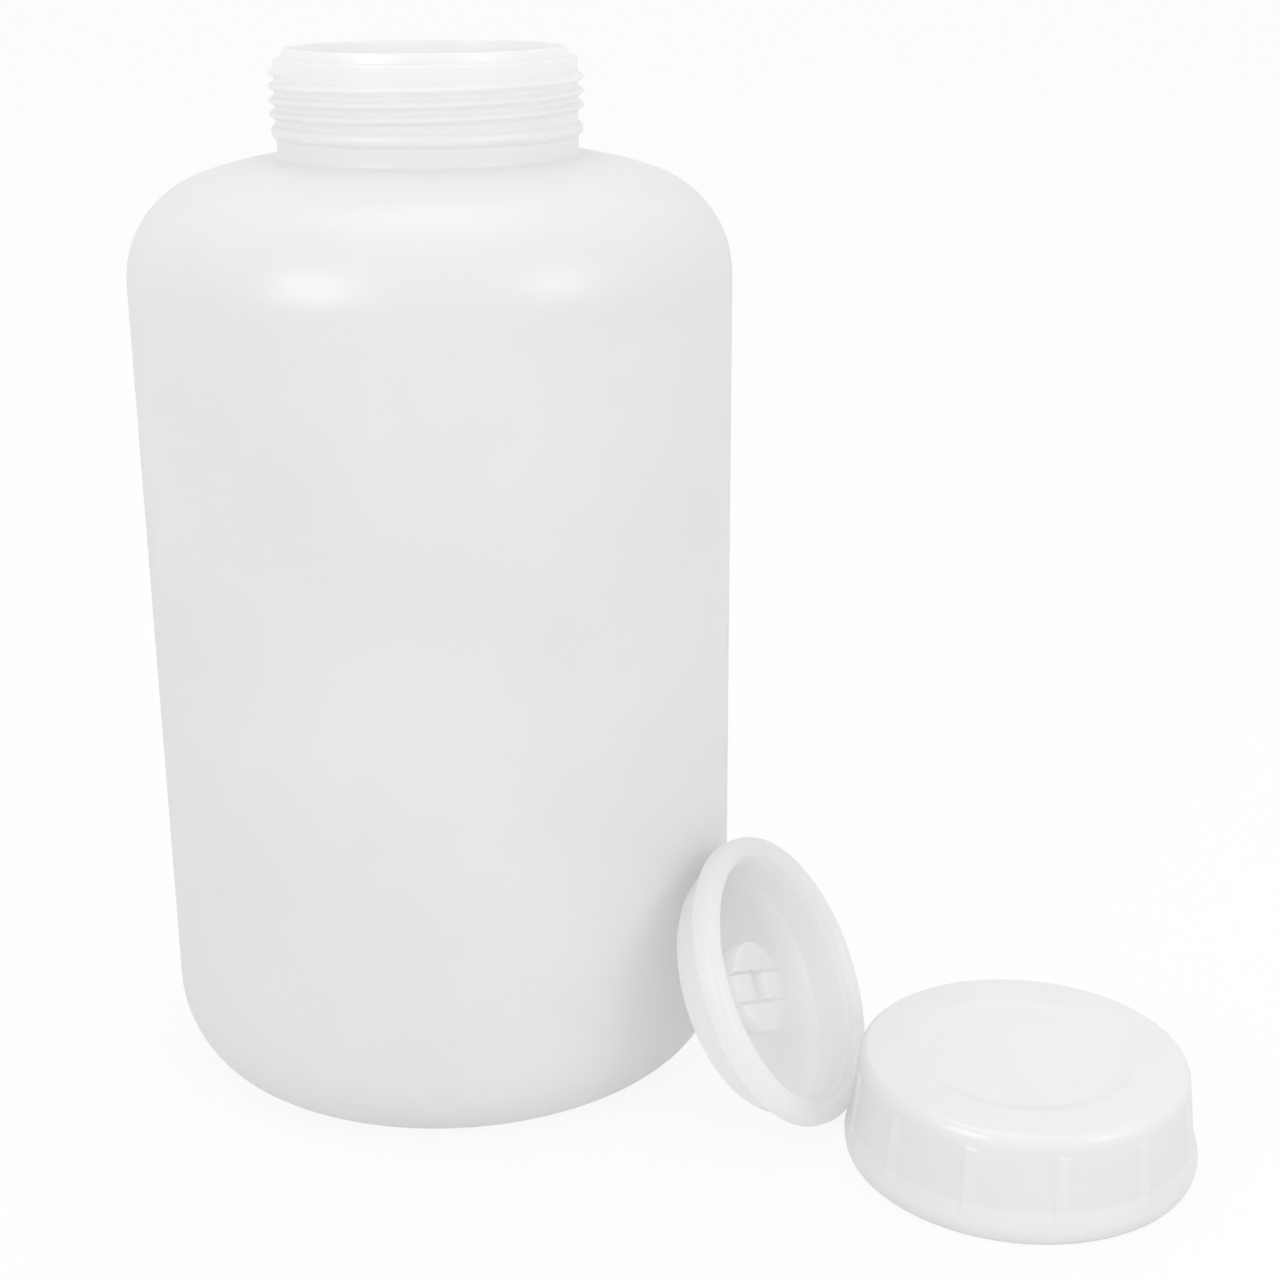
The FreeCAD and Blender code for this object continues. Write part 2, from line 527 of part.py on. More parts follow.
def make_cap():
    """The screw cap, mouth down: a flared skirt with a bead at its foot, grip ribs and a dished top."""
    body = new_body("ScrewCap", "screw_cap")
    bore = size("neck_radius") + size("thread_depth") + size("cap_fit")
    side = bore + size("cap_wall")
    foot = side + size("cap_flare")
    height = size("cap_height")
    bead = size("cap_bead_height") / 2
    bead_x = foot + size("cap_bead_depth") - bead
    bead_end = math.degrees(math.acos((foot - bead_x) / bead))
    edge = size("cap_edge_round")
    dish = height - size("cap_recess_depth")
    under = dish - size("cap_top")
    recess = size("cap_recess_radius")
    recess_foot = recess - size("cap_recess_slope")
    outline = new_sketch(body, "Outline", "XZ_Plane")
    drawn = draw_loop(outline, [
        ("line", (bore, 0), (bead_x, 0)),
        ("arc", (bead_x, bead), bead, -90, bead_end, "smooth"),
        ("line", turned((bead_x, bead), bead, bead_end), (side, height - edge)),
        ("arc", (side - edge, height - edge), edge, 0, 90),
        ("line", (side - edge, height), (recess, height), "smooth"),
        ("line", (recess, height), (recess_foot, dish)),
        ("line", (recess_foot, dish), (0, dish)),
        ("line", (0, dish), (0, under)),
        ("line", (0, under), (bore, under)),
        ("line", (bore, under), (bore, 0)),
    ])
    mouth, bead_arc, skirt, edge_arc = drawn[:4]
    outline.addConstraint(Sketcher.Constraint("PointOnObject", mouth[1][0], mouth[1][1], -1))
    tie_x(outline, "bore", mouth[1], CAP_BORE)
    tie_radius(outline, "bead", bead_arc[0], "sizes.cap_bead_height / 2")
    tie_x(outline, "bead_middle", (bead_arc[0], 3),
          "%s + sizes.cap_bead_depth - sizes.cap_bead_height / 2" % CAP_FOOT)
    tie_x(outline, "foot", skirt[1], CAP_FOOT)
    tie_radius(outline, "edge", edge_arc[0], "sizes.cap_edge_round")
    outline.addConstraint(Sketcher.Constraint("Horizontal", edge_arc[0], 3, edge_arc[1][0], edge_arc[1][1]))
    tie_x(outline, "side", edge_arc[1], CAP_SIDE)
    tie_y(outline, "height", drawn[4][2], "sizes.cap_height")
    tie_x(outline, "recess", drawn[5][1], "sizes.cap_recess_radius")
    tie_x(outline, "recess_foot", drawn[6][1], "sizes.cap_recess_radius - sizes.cap_recess_slope")
    tie_y(outline, "dish", drawn[6][1], "sizes.cap_height - sizes.cap_recess_depth")
    tie_y(outline, "under", drawn[8][2], "sizes.cap_height - sizes.cap_recess_depth - sizes.cap_top")
    revolve(body, outline, "Shell")
    add_ribs(body, side, foot, height - size("cap_rib_drop"))

    ridge = new_sketch(body, "Ridge", "XZ_Plane")
    ridge_loop(ridge, bore, CAP_BORE, size("cap_thread_depth"), "sizes.cap_thread_depth",
               size("cap_thread_rise"), "sizes.cap_thread_rise", inward=True)
    add_thread(body, ridge, "sizes.cap_thread_turns")
    place(body, CAP_X, CAP_Y, "0", "rotationz(sizes.cap_rib_first * 1 deg)")
    return body


def add_ribs(body, side, foot, top):
    """Upright grip ribs that follow the skirt's flare, evenly spaced round it."""
    sink = size("root_sink")
    proud = size("cap_rib_depth")
    low = size("cap_rib_foot")
    sketch = new_sketch(body, "RibOutline", "XZ_Plane")
    drawn = draw_loop(sketch, [
        ("line", (foot - sink, low), (foot + proud, low)),
        ("line", (foot + proud, low), (side + proud, top)),
        ("line", (side + proud, top), (side - sink, top + proud + sink)),
        ("line", (side - sink, top + proud + sink), (foot - sink, low)),
    ])
    tie_x(sketch, "foot_back", drawn[0][1], CAP_FOOT + " - sizes.root_sink")
    tie_x(sketch, "foot_front", drawn[0][2], CAP_FOOT + " + sizes.cap_rib_depth")
    tie_y(sketch, "foot", drawn[0][2], "sizes.cap_rib_foot")
    tie_x(sketch, "top_front", drawn[1][2], CAP_SIDE + " + sizes.cap_rib_depth")
    tie_y(sketch, "top", drawn[1][2], "sizes.cap_height - sizes.cap_rib_drop")
    tie_x(sketch, "top_back", drawn[2][2], CAP_SIDE + " - sizes.root_sink")
    tie_y(sketch, "top_slope", drawn[2][2],
          "sizes.cap_height - sizes.cap_rib_drop + sizes.cap_rib_depth + sizes.root_sink")
    rib = body.newObject("PartDesign::Pad", "Rib")
    rib.Profile = sketch
    rib.SideType = "Symmetric"
    rib.setExpression("Length", "sizes.cap_rib_width")
    sketch.Visibility = False
    doc.recompute()
    ribs = body.newObject("PartDesign::PolarPattern", "Ribs")
    ribs.Originals = [rib]
    ribs.Axis = (sketch, ["V_Axis"])
    ribs.Angle = 360.0
    ribs.setExpression("Occurrences", "sizes.cap_ribs")
    body.Tip = ribs
    doc.recompute()


def check(bodies):
    """Stops the build if any feature failed, a sketch is loose or a piece isn't one valid solid."""
    for item in doc.Objects:
        if "Invalid" in item.State or "Error" in item.State:
            raise RuntimeError("%s failed: %s" % (item.Label, item.State))
        if item.isDerivedFrom("Sketcher::SketchObject") and not item.FullyConstrained:
            raise RuntimeError("%s is not fully constrained" % item.Label)
    for body in bodies:
        shape = body.Shape
        if shape.isNull() or not shape.isValid() or len(shape.Solids) != 1:
            raise RuntimeError("%s is not one valid solid" % body.Label)


pieces = [make_bottle(), make_plug(), make_cap()]
doc.recompute()
check(pieces)
for piece in pieces:
    piece.Shape.exportStep("parts/%s.step" % piece.Label)
    box = piece.Shape.optimalBoundingBox()
    print("%-11s %8.1f mm3  x %.1f..%.1f  y %.1f..%.1f  z %.2f..%.2f" % (
        piece.Label, piece.Shape.Volume, box.XMin, box.XMax, box.YMin, box.YMax, box.ZMin, box.ZMax))
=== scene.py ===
"""Models and finishes a wide-mouth plastic storage jar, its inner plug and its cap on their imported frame."""

import math

import bpy
from mathutils import Matrix, Vector


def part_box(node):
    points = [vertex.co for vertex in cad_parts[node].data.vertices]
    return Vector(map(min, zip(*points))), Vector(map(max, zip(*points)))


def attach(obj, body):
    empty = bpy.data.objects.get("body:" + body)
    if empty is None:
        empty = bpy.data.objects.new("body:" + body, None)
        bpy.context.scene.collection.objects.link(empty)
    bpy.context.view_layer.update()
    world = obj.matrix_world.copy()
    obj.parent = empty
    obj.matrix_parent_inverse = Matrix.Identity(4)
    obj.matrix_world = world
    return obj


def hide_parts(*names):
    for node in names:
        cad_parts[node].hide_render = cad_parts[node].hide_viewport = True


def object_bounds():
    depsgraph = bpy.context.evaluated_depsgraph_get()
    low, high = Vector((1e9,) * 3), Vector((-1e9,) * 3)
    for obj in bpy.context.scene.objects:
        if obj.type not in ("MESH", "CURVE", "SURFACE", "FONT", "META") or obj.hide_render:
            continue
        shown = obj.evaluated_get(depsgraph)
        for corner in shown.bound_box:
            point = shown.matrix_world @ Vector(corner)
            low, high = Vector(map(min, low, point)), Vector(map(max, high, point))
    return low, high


bl_info = {
    "name": "Storage Jar",
    "version": (1, 0, 0),
    "blender": (4, 5, 0),
    "location": "View3D > Sidebar > Storage Jar",
    "description": "Models a jar of milky plastic with its inner plug, its screw cap and a plain stage",
    "category": "Object",
}

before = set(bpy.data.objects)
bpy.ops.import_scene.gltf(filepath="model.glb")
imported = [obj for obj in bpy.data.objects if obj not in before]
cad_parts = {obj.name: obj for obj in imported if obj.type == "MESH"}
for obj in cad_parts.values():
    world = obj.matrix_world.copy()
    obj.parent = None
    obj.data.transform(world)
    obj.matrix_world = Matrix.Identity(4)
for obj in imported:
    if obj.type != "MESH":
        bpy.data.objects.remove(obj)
FRAME_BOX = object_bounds()
CAP_LOW, CAP_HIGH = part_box("screw_cap")

# How near a point is to a wall's radius when it lies on that wall, and points that count as one.
ON_WALL = 0.00002
ONE_POINT = 0.000004

# The part of a turn over which a thread's end fades.
THREAD_FADE = 0.06

# The floor's width, and how much of its light is its own where the camera or a reflection sees it.
FLOOR_SIZE = 24
FLOOR_GLOW = 0.88

# Name, place, point that it looks at, width, power, and whether it gives highlights and no other light.
LAMPS = (
    ("softbox_left", (-0.839, -0.813, 0.64), (0, 0, 0.15), 0.55, 2.1, False),
    ("softbox_left_gloss", (-0.837, -0.811, 0.639), (0, 0, 0.15), 0.55, 1.6, True),
    ("softbox_right", (0.846, -0.805, 0.627), (0.03, 0, 0.15), 0.5, 2.2, False),
    ("softbox_top", (-0.05, 0.218, 1.458), (0.03, -0.02, 0.1), 0.9, 2.8, False),
)

# The camera's place and lens, and its turn to the left, its look down and its roll in degrees.
CAMERA_PLACE = (0, -0.44457, 0.23783)
CAMERA_LENS = 59.81
CAMERA_TURN = -5.494
CAMERA_DIP = 18.458
CAMERA_ROLL = -0.242


def length(name, description, value):
    """A size in metres that the sidebar shows with its unit."""
    return bpy.props.FloatProperty(
        name=name, description=description, default=value,
        min=0.0, precision=5, subtype="DISTANCE", unit="LENGTH",
    )


def place(name, description, value):
    """A point in metres that the sidebar shows with its unit."""
    return bpy.props.FloatVectorProperty(
        name=name, description=description, default=value,
        size=3, precision=5, subtype="TRANSLATION", unit="LENGTH",
    )


def turn(name, description, degrees):
    """An angle, given in degrees and kept in radians."""
    return bpy.props.FloatProperty(
        name=name, description=description, default=math.radians(degrees), subtype="ANGLE", unit="ROTATION"
    )


def count(name, description, value):
    """A whole number of steps or copies."""
    return bpy.props.IntProperty(name=name, description=description, default=value, min=1)


def turns(name, description, value):
    """A number of full turns."""
    return bpy.props.FloatProperty(name=name, description=description, default=value, min=0.5)


def share(name, description, value):
    """A number from nought to one."""
    return bpy.props.FloatProperty(
        name=name, description=description, default=value, min=0.0, max=1.0, subtype="FACTOR"
    )


def tint(name, description, grey):
    """A colour, grey to start with."""
    return bpy.props.FloatVectorProperty(
        name=name, description=description, default=(grey,) * 3, size=3, min=0.0, max=1.0, subtype="COLOR"
    )


class JarBottleSizes(bpy.types.PropertyGroup):
    """The blow-moulded bottle's own sizes."""

    radius: length("Radius", "Radius of the straight side", 0.062)
    height: length("Height", "From the standing ring to the lip", 0.216)
    wall: length("Wall", "Thickness of the body's wall", 0.0016)
    side_top: length("Side top", "Height at which the shoulder starts", 0.1704)
    edge_radius: length("Shoulder edge radius", "Tight curve where the side turns into the shoulder", 0.0218)
    edge_turn: turn("Shoulder edge turn", "How far the tight curve turns", 71.0)
    crown_radius: length("Shoulder crown radius", "Wide curve from the tight one up to the neck", 0.0794)
    flank_radius: length("Flank radius", "Gentle curve at the foot of the side", 0.022)
    flank_turn: turn("Flank turn", "How far the gentle curve turns", 36.0)
    heel_radius: length("Heel radius", "Tighter curve down to the standing ring", 0.010)
    ring_width: length("Standing ring", "Width of the flat ring that the bottle stands on", 0.004)
    push_up: length("Push-up", "Height of the hollow under the base", 0.003)
    push_up_slope: length("Push-up slope", "Width of the slope round the hollow", 0.007)
    neck_radius: length("Neck radius", "Outside of the neck between the threads", 0.0305)
    neck_wall: length("Neck wall", "From the neck's outside to the mouth's bore", 0.00295)
    lip_step: length("Lip step", "How much narrower the plain lip is than the neck", 0.00175)
    lip_rise: length("Lip rise", "Height of the plain lip", 0.0021)
    lip_taper: length("Lip taper", "How much the lip narrows towards its top", 0.0003)
    bead_drop: length("Bead drop", "From the lip down to the retaining bead's middle", 0.0161)
    bead_round: length("Bead round", "Radius of the bead's section", 0.00145)
    bead_depth: length("Bead depth", "How far the bead stands out", 0.001)
    thread_pitch: length("Thread pitch", "Rise of the thread in one turn", 0.00275)
    thread_depth: length("Thread depth", "How far the thread stands out", 0.00125)
    thread_base: length("Thread base", "Width of the thread at its foot", 0.0019)
    thread_drop: length("Thread drop", "From the lip down to the thread's lower end", 0.0131)
    thread_start: turn("Thread start", "Direction of the thread's lower end", 145.0)
    thread_turns: turns("Thread turns", "Turns from one end of the thread to the other", 3.2)
    segments: count("Segments", "Steps round the bottle", 288)


class JarPlugSizes(bpy.types.PropertyGroup):
    """The inner plug's own sizes, from the middle of its rim, and how it leans on the bottle."""

    rim_radius: length("Rim radius", "Outside of the thick rim", 0.0309)
    rim_width: length("Rim width", "From the rim's outside to its inside", 0.0044)
    rim_height: length("Rim height", "Thickness of the rim", 0.0056)
    rim_round: length("Rim round", "Rounding of the rim's outer edges", 0.0021)
    rim_inner_round: length("Rim inner round", "Rounding of the rim's inner edge", 0.0015)
    ledge: length("Ledge", "Height of the small ledge inside the rim", 0.0003)
    cup_radius: length("Cup radius", "Outside of the cup that goes in the mouth", 0.0274)
    depth: length("Depth", "From the rim's middle down to the underside", 0.0112)
    wall: length("Wall", "Thickness of the cup's wall and floor", 0.0017)
    corner: length("Corner", "Rounding of the cup's underside", 0.007)
    dish_width: length("Dish width", "Width of the floor's rising edge", 0.0083)
    dish_rise: length("Dish rise", "How far the floor rises to the cup's side", 0.0026)
    grip_radius: length("Grip radius", "Radius of the slotted grip on the floor", 0.0096)
    grip_height: length("Grip height", "Height of the grip above the floor", 0.004)
    grip_slot: length("Grip slot", "Width of the two slots", 0.0009)
    grip_slot_depth: length("Slot depth", "How deep the slots and the hole go", 0.0024)
    grip_slot_spread: length("Slot spread", "Between the two slots' middles", 0.0064)
    grip_hole_width: length("Hole width", "Width of the grip's six-sided hole", 0.0048)
    grip_hole_length: length("Hole length", "Length of the grip's six-sided hole", 0.0118)
    grip_edge: length("Grip edge", "Rounding of the grip's edges", 0.00022)
    middle: place("Rim middle", "Where the rim's middle is", (0.067978, -0.046574, 0.027902))
    facing: turn("Facing", "Direction in which the open side looks", -28.4)
    tilt: turn("Tilt", "How far the open side looks up", 27.8)
    roll: turn("Grip roll", "Slant of the slots", -23.5)
    segments: count("Segments", "Steps round the plug", 256)


class JarCapSizes(bpy.types.PropertyGroup):
    """The screw cap's own sizes."""

    bore: length("Bore", "Inside radius between the threads", 0.032)
    wall: length("Wall", "Thickness of the skirt at its top", 0.0013)
    height: length("Height", "From the mouth to the top", 0.0218)
    edge_round: length("Edge round", "How far in the top edge's rounding reaches", 0.0021)
    edge_fall: length("Edge fall", "How far down the top edge's rounding reaches", 0.0034)
    flare: length("Flare", "How much wider the skirt is at its foot", 0.0017)
    bead_height: length("Bead height", "Height at which the foot starts to swell", 0.007)
    bead_crest: length("Bead crest", "Height of the foot's widest place", 0.0029)
    bead_depth: length("Bead depth", "How far the foot swells out", 0.0007)
    recess_radius: length("Recess radius", "Radius of the dished top's edge", 0.0224)
    recess_slope: length("Recess slope", "Width of the slope round the dish", 0.0026)
    recess_depth: length("Recess depth", "Depth of the dish", 0.0007)
    top: length("Top", "Thickness of the top under the dish", 0.0016)
    rib_width: length("Rib width", "Width of a grip rib at its foot", 0.0036)
    rib_depth: length("Rib depth", "How far a rib stands out", 0.00038)
    rib_drop: length("Rib drop", "From the top down to the ribs' upper ends", 0.0035)
    rib_first: turn("First rib", "Direction of one rib", 28.0)
    ribs: count("Ribs", "Number of ribs", 12)
    thread_pitch: length("Thread pitch", "Rise of the inner thread in one turn", 0.00275)
    thread_depth: length("Thread depth", "How far the inner thread stands in", 0.0009)
    thread_base: length("Thread base", "Width of the inner thread at its foot", 0.0019)
    thread_rise: length("Thread rise", "Height of the thread's end nearest the mouth", 0.003)
    thread_turns: turns("Thread turns", "Turns from one end of the inner thread to the other", 2.5)
    segments: count("Segments", "Steps round the cap", 576)


class JarFinishes(bpy.types.PropertyGroup):
    """Colours and gloss of the three plastics, and the tone of the floor."""

    bottle_light: tint("Bottle, light", "Where the bottle's wall is thicker", 0.94)
    bottle_dark: tint("Bottle, dark", "Where the bottle's wall is thinner", 0.915)
    # Painted light: the neck and the shoulder's top are paler, partly for their thicker plastic and partly to
    # lift the shade round the neck's foot.
    bottle_neck: tint("Bottle neck", "The thicker plastic of the neck and the shoulder's top", 0.945)
    bottle_roughness: share("Bottle roughness", "How matte the bottle is", 0.315)
    plug_light: tint("Plug, light", "The plug's lighter patches", 0.94)
    plug_dark: tint("Plug, dark", "The plug's darker patches", 0.92)
    # Painted light: the grip's top and outer wall are paler, partly for the grip's thicker plastic and partly
    # to even out the shade on its side wall.
    plug_grip: tint("Plug grip", "The grip's thicker plastic", 0.99)
    plug_roughness: share("Plug roughness", "How matte the plug is", 0.24)
    cap_light: tint("Cap, light", "The cap's lighter patches", 0.89)
    cap_dark: tint("Cap, dark", "The cap's darker patches", 0.865)
    # Painted light: the ribs are paler, partly for their thicker plastic and partly as painted light bands in
    # place of the ribs' own shading.
    cap_ribs: tint("Cap ribs", "The ribs' thicker plastic", 0.9)
    cap_roughness: share("Cap roughness", "How matte the cap is", 0.25)
    floor: tint("Floor", "The floor's colour", 0.8)


def deselect_all():
    """Leaves object mode with nothing selected."""
    if bpy.context.object is not None and bpy.context.object.mode != "OBJECT":
        bpy.ops.object.mode_set(mode="OBJECT")
    bpy.ops.object.select_all(action="DESELECT")


def choose(piece):
    """Makes one piece the only selected one, and the active one."""
    deselect_all()
    piece.select_set(True)
    bpy.context.view_layer.objects.active = piece


def apply_modifier(piece, modifier):
    """Bakes a modifier into a piece's mesh."""
    choose(piece)
    bpy.ops.object.modifier_apply(modifier=modifier.name)


def arc(centre, radius, start, end, steps):
    """Points of an arc in the plane of radius and height, without its first one. Angles are in degrees."""
    points = []
    for step in range(1, steps + 1):
        angle = math.radians(start + (end - start) * step / steps)
        points.append((centre[0] + radius * math.cos(angle), centre[1] + radius * math.sin(angle)))
    return points


def rows(start, end, spacing):
    """Points evenly spaced along a straight run of the outline, without its first one."""
    steps = max(1, round(math.dist(start, end) / spacing))
    return [
        (start[0] + (end[0] - start[0]) * step / steps, start[1] + (end[1] - start[1]) * step / steps)
        for step in range(1, steps + 1)
    ]


def rounded(before, corner, after, reach, steps=4):
    """Points that round one corner of the outline, on a curve that starts and ends at a reach from it."""
    entry_share = min(0.49, reach / math.dist(before, corner))
    exit_share = min(0.49, reach / math.dist(after, corner))
    entry = [corner[axis] + (before[axis] - corner[axis]) * entry_share for axis in (0, 1)]
    leave = [corner[axis] + (after[axis] - corner[axis]) * exit_share for axis in (0, 1)]
    points = []
    for step in range(steps + 1):
        part = step / steps
        points.append(tuple(
            entry[axis] * (1 - part) ** 2 + 2 * corner[axis] * part * (1 - part) + leave[axis] * part ** 2
            for axis in (0, 1)
        ))
    return points


def smooth_step(value):
    """Rises gently from 0 to 1 as the value does."""
    value = min(1.0, max(0.0, value))
    return value * value * (3 - 2 * value)


def turned_piece(name, outline, segments):
    """Extrudes a vertex along an outline of radius and height, and sweeps it round the upright axis."""
    deselect_all()
    bpy.ops.mesh.primitive_plane_add(size=0.001, location=(0, 0, 0))
    piece = bpy.context.object
    piece.name = name
    piece.data.name = name
    bpy.ops.object.mode_set(mode="EDIT")
    bpy.ops.mesh.select_all(action="SELECT")
    bpy.ops.mesh.merge(type="CENTER")
    bpy.ops.transform.translate(value=(outline[0][0], 0, outline[0][1]))
    for before, after in zip(outline, outline[1:]):
        step = (after[0] - before[0], 0, after[1] - before[1])
        bpy.ops.mesh.extrude_region_move(TRANSFORM_OT_translate={"value": step})
    bpy.ops.object.mode_set(mode="OBJECT")
    sweep = piece.modifiers.new("sweep", "SCREW")
    sweep.axis = "Z"
    sweep.angle = math.tau
    sweep.steps = segments
    sweep.render_steps = segments
    sweep.use_merge_vertices = True
    apply_modifier(piece, sweep)
    bpy.ops.object.mode_set(mode="EDIT")
    bpy.ops.mesh.select_all(action="SELECT")
    bpy.ops.mesh.remove_doubles(threshold=ONE_POINT)
    bpy.ops.mesh.normals_make_consistent(inside=False)
    bpy.ops.object.mode_set(mode="OBJECT")
    if not piece.data.polygons:
        raise RuntimeError(f"{name} didn't sweep into a surface")
    return piece


def raise_surface(piece, name, height, weight_of):
    """Lifts a piece's surface along its normals, by a height times the weight that each place gets."""
    group = piece.vertex_groups.new(name=name)
    raised = 0
    for vertex in piece.data.vertices:
        weight = weight_of(vertex.co)
        if weight > 0:
            group.add([vertex.index], weight, "REPLACE")
            raised += 1
    if not raised:
        raise RuntimeError(f"{name} has no place on {piece.name}")
    lift = piece.modifiers.new(name, "DISPLACE")
    lift.vertex_group = name
    lift.mid_level = 0
    lift.strength = height
    apply_modifier(piece, lift)
    piece.vertex_groups.remove(piece.vertex_groups[name])


def thread_weight(sizes, point, first_height, start):
    """A screw thread's weight at a point: a round ridge that climbs anticlockwise and fades at its ends."""
    direction = math.atan2(point.y, point.x)
    around = ((direction - start) / math.tau) % 1.0
    climbed = (point.z - first_height) / sizes.thread_pitch
    turns_up = around + round(climbed - around)
    off = abs(climbed - turns_up) * sizes.thread_pitch / (sizes.thread_base / 2)
    end = smooth_step(min(turns_up, sizes.thread_turns - turns_up) / THREAD_FADE)
    if off >= 1 or end <= 0:
        return 0.0
    return math.cos(off * math.pi / 2) * end


def mark_places(piece, name, weight_of):
    """Gives a piece's points a mask from nought to one that its material reads."""
    mask = piece.data.attributes.new(name, "FLOAT", "POINT")
    marked = 0
    for vertex in piece.data.vertices:
        weight = weight_of(vertex.co)
        mask.data[vertex.index].value = weight
        marked += weight > 0
    if not marked:
        raise RuntimeError(f"{name} marks nothing on {piece.name}")


def smooth_shade(piece, angle=32):
    """Shades a piece smooth, apart from edges sharper than an angle in degrees."""
    choose(piece)
    bpy.ops.object.shade_smooth_by_angle(angle=math.radians(angle))


def body_outline(sizes, inset, fine):
    """The bottle's outline from the base's middle to the shoulder's top, moved in by a wall."""
    side = sizes.radius - inset
    flank = sizes.flank_radius - inset
    heel = sizes.heel_radius - inset
    edge = sizes.edge_radius - inset
    crown = sizes.crown_radius - inset
    flank_turn = math.degrees(sizes.flank_turn)
    edge_turn = math.degrees(sizes.edge_turn)
    lean = math.radians(-flank_turn)
    heel_centre = (side - flank + (flank - heel) * math.cos(lean), inset + heel)
    flank_centre = (side - flank, heel_centre[1] - (flank - heel) * math.sin(lean))
    edge_centre = (side - edge, sizes.side_top)
    crown_centre = (
        edge_centre[0] + (edge - crown) * math.cos(sizes.edge_turn),
        edge_centre[1] + (edge - crown) * math.sin(sizes.edge_turn),
    )
    mouth = sizes.neck_radius - (sizes.neck_wall if inset else 0)
    crown_end = math.degrees(math.acos((mouth - crown_centre[0]) / crown))
    floor = inset + sizes.push_up
    hollow_middle = (0.026, floor)
    ring_inner = heel_centre[0] - sizes.ring_width
    hollow = (ring_inner - sizes.push_up_slope, floor)
    ring_start = (ring_inner, inset)
    ring_end = (heel_centre[0], inset)
    return (
        [(0, floor), (0.012, floor), hollow_middle]
        + rounded(hollow_middle, hollow, ring_start, 0.0015)
        + rounded(hollow, ring_start, ring_end, 0.0012)
        + [ring_end]
        + arc(heel_centre, heel, -90, -flank_turn, fine)
        + arc(flank_centre, flank, -flank_turn, 0, fine)
        + rows((side, flank_centre[1]), (side, edge_centre[1]), 0.19 / fine)
        + arc(edge_centre, edge, 0, edge_turn, 2 * fine)
        + arc(crown_centre, crown, edge_turn, crown_end, fine)
    )


def neck_outline(sizes, foot):
    """The neck from the shoulder's top: its foot, the bead, the threaded part, the lip and the bore."""
    neck = sizes.neck_radius
    height = sizes.height
    lip_foot = height - sizes.lip_rise
    lip = neck - sizes.lip_step
    mouth = neck - sizes.neck_wall
    bead_centre = (neck + sizes.bead_depth - sizes.bead_round, height - sizes.bead_drop)
    bead_turn = math.degrees(math.acos((neck - bead_centre[0]) / sizes.bead_round))
    bead_half = sizes.bead_round * math.sin(math.radians(bead_turn))
    bead_foot = (neck, bead_centre[1] - bead_half)
    bead_head = (neck, bead_centre[1] + bead_half)
    shoulder_point = (foot[0] + 0.002, foot[1] - 0.0003)
    step_corner = (neck, lip_foot)
    lip_corner = (lip, lip_foot)
    lip_top = (lip - sizes.lip_taper, height)
    mouth_top = (mouth, height)
    foot_round = 0.0007
    return (
        rounded(shoulder_point, foot, bead_foot, foot_round)
        + rows((neck, foot[1] + foot_round), bead_foot, 0.0008)
        + arc(bead_centre, sizes.bead_round, -bead_turn, bead_turn, 10)
        + rows(bead_head, (neck, lip_foot - 0.0006), 0.00023)
        + rounded(bead_head, step_corner, lip_corner, 0.0004)
        + rounded(step_corner, lip_corner, lip_top, 0.00025, 3)
        + rounded(lip_corner, lip_top, mouth_top, 0.00035)
        + rounded(lip_top, mouth_top, (mouth, height - 0.01), 0.0003)
        + rows((mouth, height - 0.0004), (mouth, height - 0.0175), 0.0035)
    )


class JAR_OT_bottle(bpy.types.Operator):
    """Models the bottle in one skin, outside and inside, with its bead and its screw thread"""

    bl_idname = "jar.bottle"
    bl_label = "Bottle"

    def execute(self, context):
        sizes = context.scene.jar_bottle
        outside = body_outline(sizes, 0.0, 10)
        neck = neck_outline(sizes, outside[-1])
        inside = body_outline(sizes, sizes.wall, 5)
        bottle = turned_piece("jar_bottle", outside[:-1] + neck + inside[::-1], sizes.segments)
        lowest = sizes.height - sizes.thread_drop
        # Where the neck and the shoulder's top turn paler: partly thicker plastic, partly painted light that
        # lifts the shade round the neck's foot.
        pale_edge = sizes.radius - 0.006
        pale_width = 0.018
        pale_height = 0.016

        def on_neck(point):
            if abs(math.hypot(point.x, point.y) - sizes.neck_radius) > ON_WALL:
                return 0.0
            return thread_weight(sizes, point, lowest, sizes.thread_start)

        def at_neck(point):
            inwards = smooth_step((pale_edge - math.hypot(point.x, point.y)) / pale_width)
            return inwards * smooth_step((point.z - sizes.side_top) / pale_height)

        mark_places(bottle, "thick_and_painted_light", at_neck)
        raise_surface(bottle, "thread", sizes.thread_depth, on_neck)
        smooth_shade(bottle)
        finish_piece(bottle, "bottle", bottle_plastic())
        return {"FINISHED"}


